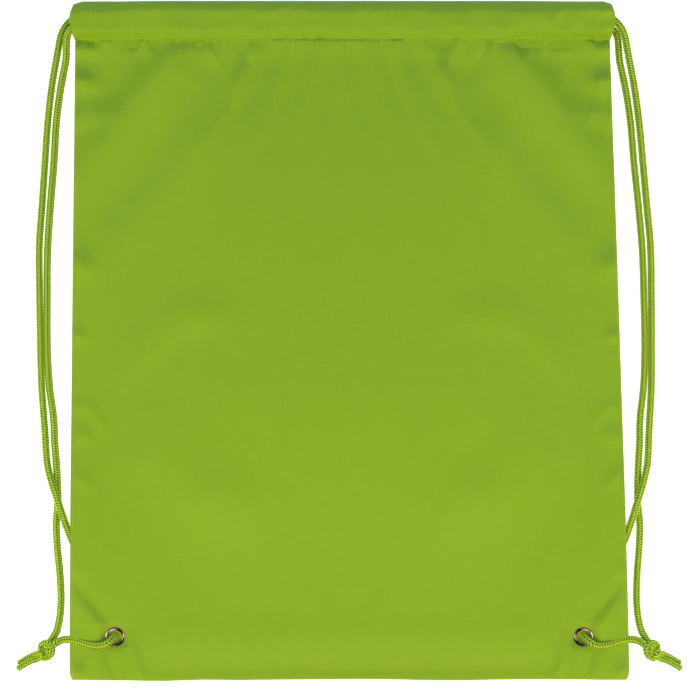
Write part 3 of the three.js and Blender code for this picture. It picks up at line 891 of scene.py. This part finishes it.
def resample(points, hidden):
    """Points along the curve, closer together where the cord is seen."""
    s = measured(points)
    steps = np.where(hidden, COARSE_STEP, FINE_STEP)
    count = np.concatenate([[0], np.cumsum(np.diff(s) / steps[:-1])])
    places = np.interp(np.linspace(0, count[-1], int(count[-1]) + 1), count, s)
    return np.column_stack([np.interp(places, s, points[:, i]) for i in range(3)]), places


def carried_frames(path):
    """Two directions square to the path at each point, turning as little as possible."""
    tangent = np.gradient(path, axis=0)
    tangent /= np.linalg.norm(tangent, axis=1)[:, None]
    normal = np.zeros_like(path)
    start = np.cross(tangent[0], (0, 0, 1.0))
    normal[0] = start / np.linalg.norm(start)
    for i in range(1, len(path)):
        v = normal[i - 1] - tangent[i] * (normal[i - 1] @ tangent[i])
        normal[i] = v / np.linalg.norm(v)
    return tangent, normal, np.cross(tangent, normal)


def make_cord(name, dense, radius_at, side, cut=True):
    """A knitted tube along a dense line of points. Returns it with its ring centres.
    A cut end is sealed, so it is drawn in and a little rounded."""
    hidden = (abs(dense[:, 0]) < SEEN_FROM) & (dense[:, 1] > 150)
    path, places = resample(dense, hidden)
    tangent, normal, other = carried_frames(path)
    turn = np.linspace(0, 2 * np.pi, CORD_SIDES, endpoint=False)
    column = turn / (2 * np.pi) * STITCH_COLUMNS
    cell = column - np.floor(column)
    lean = np.where(np.floor(column) % 2 == 0, 1, -1) * (cell - 0.5)
    phase = places[:, None] / STITCH_PITCH + 0.9 * lean[None]
    to_gap = 0.5 - abs(phase - np.floor(phase) - 0.5)
    to_column = 0.5 - abs(cell - 0.5)
    # how far each point of the knit stands out: it shapes the tube and also sets the cord's painted shade
    # and highlight
    stitch = (1 - bell(to_gap, 0.22)) * (1 - 0.8 * bell(to_column, 0.13))[None]
    shown = 1 - smooth(SEEN_FROM + 4 - abs(path[:, 0]), 4) * (path[:, 1] > 150)
    radius = radius_at(path)[:, None] * (1 + STITCH_RAISED * shown[:, None] * (stitch - 0.62))
    to_end = places[-1] - places
    if cut:
        radius *= np.sqrt(1 - 0.7 * (1 - np.clip(to_end[:, None] / 0.5, 0, 1)) ** 2)
    around = ring_directions(turn, normal, other)
    verts = path[:, None] + radius[:, :, None] * around
    verts[:, :, 2] = np.maximum(verts[:, :, 2], 0.05)
    # share of painted shade round each ring: 1 on the side towards the bag, 0 on the side away from it
    inner = smooth(0.5 - 0.62 * side * around[:, :, 0])
    index = np.arange(len(path) * CORD_SIDES).reshape(-1, CORD_SIDES)
    caps = [[ring[0], ring[i], ring[i + 1], ring[i + 2]]
            for ring in (index[0][::-1], index[-1]) for i in range(1, CORD_SIDES - 2, 2)]
    faces = np.concatenate([tube_quads(index), np.array(caps)])
    uv = np.stack(np.broadcast_arrays(turn[None] / (2 * np.pi), places[:, None]), -1).reshape(-1, 2)
    made = make_object(name, verts.reshape(-1, 3), faces, CORD_LOOK,
                       attributes=[("stitch", stitch.ravel()), ("inner", inner.ravel())], uv=uv)
    return made, path


def strand_points(side_name, straight):
    """One end of a cord from the middle of its channel, through the knot to its tail."""
    left = side_name == "left"
    if straight:
        outside = strand_route(LOW_RUN, left, STRAIGHT_END)
        knot, tail = knot_route(-1), np.array(STRAIGHT_TAIL) + TAILS_TOGETHER * KNOT_ACROSS
    else:
        outside = strand_route(HIGH_RUN, not left, EYELET_END)
        knot, tail = knot_route(1), np.array(EYELET_TAIL) - TAILS_TOGETHER * KNOT_ACROSS
    last = tail[-1] + CUT_LONGER * (tail[-1] - tail[-2]) / np.linalg.norm(tail[-1] - tail[-2])
    return np.vstack([outside, knot, tail[:-1], last])


def mirrored(points):
    made = points.copy()
    made[:, 0] = across(points[:, 0], points[:, 1])
    return made


def strand_radius(side):
    def radius_at(path):
        from_knot = (path if side < 0 else mirrored(path)) - KNOT
        away = np.linalg.norm(from_knot, axis=1)
        loose = mix(SEEN_RADIUS, TAIL_RADIUS, smooth(from_knot @ KNOT_ALONG - 2, 4))
        return mix(KNOTTED, loose, smooth(away - 4.6, 2.0))

    return radius_at


for side_name, side in SIDES:
    for kind in ("straight", "eyelet"):
        points = strand_points(side_name, kind == "straight")
        if side > 0:
            points = mirrored(points)
        name = f"{side_name}_cord_{kind}_end"
        piece, path = make_cord(name, spline(points), strand_radius(side), side)
        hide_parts(f"{side_name}_cord_{kind}_strand", f"{side_name}_cord_{kind}_tail")
        if kind == "eyelet":
            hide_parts(f"{side_name}_cord_knot")
        follow_cord(piece, side)

for side_name, runs, side in (("right", (HIGH_RUN, LOW_RUN), -1), ("left", (LOW_RUN, HIGH_RUN), 1)):
    points = loop_route(*runs)
    if side > 0:
        points = mirrored(points)
    name = f"{side_name}_cord_far_half"
    piece, path = make_cord(name, spline(points), lambda p: np.full(len(p), CORD / 2), side, cut=False)
    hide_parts(f"{side_name}_cord_channel_loop")
    follow_cord(piece, side)

# ---------------- the cloth's two halves

cloths = {}
for side_name, side in SIDES:
    cloths[side_name] = make_cloth(side, f"cloth_{side_name}_half", CLOTH_LOOK)
    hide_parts("front_panel", "back_panel")

# ---------------- stitches and seams

THREAD_RADIUS, THREAD_SIDES = 0.17, 6
THREAD_ARCH, THREAD_SUNK = 1.5, 0.12  # of a stitch: its height in radii, and how deep its ends lie


def front_surface(x, y):
    x, y = np.asarray(x, float), np.asarray(y, float)
    return layer_heights(FRONT, x, y) + VISIBLE_CLOTH / 2


def back_surface(x, y):
    """The back's underside, on which its stitches show."""
    x, y = np.asarray(x, float), np.asarray(y, float)
    return layer_heights(BACK, x, y) - VISIBLE_CLOTH / 2


def make_stitches(name, starts, ends, surface, raised, side):
    """Short threads between pairs of points, arched over the surface with both ends in it."""
    starts, ends = np.asarray(starts, float), np.asarray(ends, float)
    t = np.linspace(0, 1, 9)
    xy = starts[:, None] + (ends - starts)[:, None] * t[None, :, None]
    arch = THREAD_ARCH * THREAD_RADIUS * np.sin(np.pi * t) ** 0.5 - THREAD_SUNK
    z = surface(xy[:, :, 0], xy[:, :, 1]) + raised * arch[None]
    path = np.concatenate([xy, z[:, :, None]], 2)
    tangent = np.gradient(path, axis=1)
    tangent /= np.linalg.norm(tangent, axis=2)[:, :, None]
    out = np.cross(tangent, (0, 0, 1.0))
    out /= np.linalg.norm(out, axis=2)[:, :, None]
    up = np.cross(out, tangent)
    turn = np.linspace(0, 2 * np.pi, THREAD_SIDES, endpoint=False)
    verts = path[:, :, None] + THREAD_RADIUS * ring_directions(turn, out, up)
    verts[..., 2] = np.maximum(verts[..., 2], 0.03)
    n, rings = path.shape[:2]
    index = np.arange(n * rings * THREAD_SIDES).reshape(n, rings, THREAD_SIDES)
    caps = [index[:, r][:, order] for r, order in
            ((0, [3, 2, 1, 0]), (0, [5, 4, 3, 0]), (-1, [0, 1, 2, 3]), (-1, [0, 3, 4, 5]))]
    place = t[None, :, None] + np.zeros((n, 1, 1))
    uv = np.stack(np.broadcast_arrays(turn[None, None] / (2 * np.pi), place), -1)
    made = make_object(name, verts.reshape(-1, 3), np.concatenate([tube_quads(index), *caps]),
                       THREAD_LOOK, uv=uv.reshape(-1, 2))
    follow_cloth(made, side)
    return made


hem_pieces = {"left": [], "right": []}
for side_name, side in SIDES:
    edge = float(abs(side_edge(side, STITCH_Y)))
    first = np.arange(FIRST_STITCH, edge - 4, HEM_PITCH)
    y = STITCH_Y + 0.12 * wander(first, 9, 41)
    starts = np.column_stack([side * first, y])
    ends = np.column_stack([side * (first + STITCH), y + 0.05])
    for layer, surface, raised in (("front", front_surface, 1), ("back", back_surface, -1)):
        piece = make_stitches(f"{side_name}_{layer}_hem_seam", starts, ends, surface, raised, side)
        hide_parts(f"{layer}_hem_stitching")
        hem_pieces[side_name].append(piece)
        # the tack: three passes back and forth at the channel's end
        tack = []
        for row, (drop, slant) in enumerate(((0.55, 0.5), (1.0, -0.7), (1.6, 0.9))):
            at = np.arange(1.3 + 0.4 * row, 10.5, 2.5)
            for a in at:
                y0, y1 = STITCH_Y - drop + 0.35 * wander([a * 3.1, a * 4.7], 2, 61 + row)
                tack.append((side * (edge - a), y0, side * (edge - a - 2.1), y1 - slant * 0.4))
        tack = np.array(tack)
        piece = make_stitches(f"{side_name}_{layer}_tack", tack[:, :2], tack[:, 2:], surface, raised, side)
        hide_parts(f"{side_name}_{layer}_hem_tack")
        hem_pieces[side_name].append(piece)


SEAM_COLUMNS = np.array([0.9, 2.4, 4.2, 6.0, 7.4, 8.0])  # from the side
SEAM_HALF = 0.16  # half the thickness of the two edges
SEAM_LINE, SEAM_STITCH = 1.6, 2.3  # the straight seam: its distance from the side, and a stitch
OVERCAST, OVERCAST_NEAR, OVERCAST_FAR = 2.6, 5.4, 7.9  # the zigzag: its pitch and both distances


def between_sheets(x, y):
    """Inside the bag, just over the back sheet."""
    return back_outer(x, y) + CLOTH / 2 + 0.3


def make_seam(side_name, side):
    """Both sheets' cut edges, lying sewn together inside the bag along one side."""
    ys = np.arange(-204, SEAM_TOP - 1, 2.0)
    d = SEAM_COLUMNS
    x = side_edge(side, ys)[:, None] - side * (d[None] + 0.25 * wander(ys, 6, 51)[:, None] * (d > 7))
    y = np.repeat(ys[:, None], len(d), 1)
    z = between_sheets(x, y) + 0.08 * wander(ys, 5, 52)[:, None] * (d / 8)[None]
    mid = np.stack([x, y, z], -1)
    up = np.array([0, 0, SEAM_HALF])
    quads = grid_quads(*x.shape).reshape(-1, 4)
    if side > 0:
        quads = quads[:, ::-1]
    verts = np.concatenate([(mid + up).reshape(-1, 3), (mid - up).reshape(-1, 3)])
    uv = np.concatenate([mid[:, :, :2].reshape(-1, 2) * MM] * 2)
    faces = np.concatenate([quads, quads[:, ::-1] + x.size, closing_rims(quads, x.size)])
    seam = make_object(f"{side_name}_seam_edges", verts, faces, CLOTH_LOOK, uv=uv)
    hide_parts(f"{side_name}_side_seam")
    follow_cloth(seam, side)
    at = np.arange(-203, SEAM_TOP - 4, OVERCAST)
    place = side_edge(side, at)
    near = np.column_stack([place - side * OVERCAST_NEAR, at])
    far = np.column_stack([place - side * OVERCAST_FAR, at + OVERCAST / 2])
    again = np.column_stack([place - side * OVERCAST_NEAR, at + OVERCAST])
    line = np.column_stack([place - side * SEAM_LINE, at])
    starts, ends = np.vstack([near, far, line]), np.vstack([far, again, line + (0, SEAM_STITCH)])
    thread = make_stitches(f"{side_name}_seam_thread", starts, ends,
                           lambda x, y: between_sheets(x, y) + SEAM_HALF, 1, side)
    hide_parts(f"{side_name}_side_stitching")
    return [seam, thread]


for side_name, side in SIDES:
    hem_pieces[side_name] += make_seam(side_name, side)
    cloth = cloths[side_name]
    follow_cloth(cloth, side)

# ---------------- eyelets


def lathe(name, profile, centre, material, steps=96):
    """A closed ring turned from a closed profile of radius and height."""
    profile = np.asarray(profile, float)
    turn = np.linspace(0, 2 * np.pi, steps, endpoint=False)
    x = centre[0] + profile[None, :, 0] * np.cos(turn)[:, None]
    y = centre[1] + profile[None, :, 0] * np.sin(turn)[:, None]
    z = np.repeat(profile[None, :, 1], steps, 0)
    verts = np.stack([x, y, z], -1)
    index = np.arange(steps * len(profile)).reshape(steps, len(profile))
    nxt, up = np.roll(index, -1, axis=0), np.roll(index, -1, axis=1)
    both = np.roll(nxt, -1, axis=1)
    quads = np.stack([index, nxt, both, up], -1).reshape(-1, 4)
    shown_turn = turn if centre[0] < 0 else (np.pi - turn) % (2 * np.pi)
    turns = np.repeat(shown_turn / (2 * np.pi), len(profile))
    made = make_object(name, verts.reshape(-1, 3), quads, material, attributes=[("turn", turns)])
    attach(made, "bag")
    return made


def eyelet_profile():
    """Anticlockwise: up the barrel's inside, over the rolled rim, and down its outside."""
    rim = [((EYELET_OUTER + EYELET_HOLE) / 2 - 0.83 * math.cos(a), FLANGE_Z + 0.1 + 0.85 * math.sin(a))
           for a in np.linspace(0, math.pi, 17)]
    under = [(EYELET_OUTER - 0.15, FLANGE_Z - 0.12), (EYELET_BARREL + 0.35, FLANGE_Z - 0.05),
             (EYELET_BARREL, FLANGE_Z - 0.35), (EYELET_BARREL, WASHER_Z + 0.25),
             (EYELET_BARREL + 0.55, WASHER_Z + 0.02), (EYELET_BARREL + 0.35, WASHER_Z - 0.25),
             (EYELET_HOLE + 0.1, WASHER_Z - 0.05), (EYELET_HOLE, WASHER_Z + 0.4)]
    return (rim + under)[::-1]


def washer_profile():
    inner = EYELET_BARREL + GAP
    middle, half = (inner + EYELET_OUTER) / 2, (EYELET_OUTER - inner) / 2
    thick = WASHER_THICK / 2
    profile = []
    for a in np.linspace(0, 2 * math.pi, 16, endpoint=False):
        fuller = 1.4 if math.sin(a) < 0 else 1
        profile.append((middle + half * math.cos(a), WASHER_Z + thick + thick * math.sin(a) * fuller))
    return profile


for side_name, x in (("left", EYELET_X), ("right", float(across(EYELET_X, EYELET_Y)))):
    ring = lathe(f"{side_name}_eyelet_ring", eyelet_profile(), (x, EYELET_Y), CHROME_LOOK)
    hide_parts(f"{side_name}_eyelet")
    washer = lathe(f"{side_name}_eyelet_back_ring", washer_profile(), (x, EYELET_Y), CHROME_LOOK)
    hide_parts(f"{side_name}_eyelet_washer")

# ---------------- floor and light


def make_floor():
    m = Nodes("pale_floor")
    m.finish((0.9, 0.9, 0.9, 1), Roughness=0.9, Specular_IOR_Level=0.0, Emission_Color=(1, 1, 1, 1),
             Emission_Strength=0.8)
    mesh = bpy.data.meshes.new("floor")
    r, z = 6.0, -0.0004
    mesh.from_pydata([(-r, -r, z), (r, -r, z), (r, r, z), (-r, r, z)], [], [(0, 1, 2, 3)])
    mesh.materials.append(m.material)
    floor = bpy.data.objects.new("floor", mesh)
    into_scene(floor)


def softbox(name, azimuth, elevation, distance, size, power, colour):
    """A square light that looks at the bag. Azimuth 0 stands at -Y and 90 at +X."""
    data = bpy.data.lights.new(name, "AREA")
    data.shape, data.size, data.energy, data.color = "SQUARE", size, power, colour
    light = bpy.data.objects.new(name, data)
    a, e = math.radians(azimuth), math.radians(elevation)
    light.location = (distance * math.sin(a) * math.cos(e), -distance * math.cos(a) * math.cos(e),
                      distance * math.sin(e))
    aim = -light.location.normalized()
    light.rotation_euler = aim.to_track_quat("-Z", "Y").to_euler()
    into_scene(light)


make_floor()
softbox("key", 0, elevation=50, distance=1.6, size=0.7, power=14.6, colour=(1.0, 0.895, 0.42))
softbox("back_fill", 180, elevation=40, distance=2.0, size=1.2, power=2.6, colour=(0.2, 1.0, 5.6))
for name, azimuth in (("left_side", -90), ("right_side", 90)):
    softbox(name, azimuth, elevation=30, distance=0.95, size=0.5, power=2.9, colour=(1.0, 0.99, 0.7))

world = bpy.data.worlds.new("studio")
world.use_nodes = True
background = world.node_tree.nodes["Background"]
background.inputs["Color"].default_value = (0.8, 0.92, 1.0, 1)
background.inputs["Strength"].default_value = 0.22
bpy.context.scene.world = world
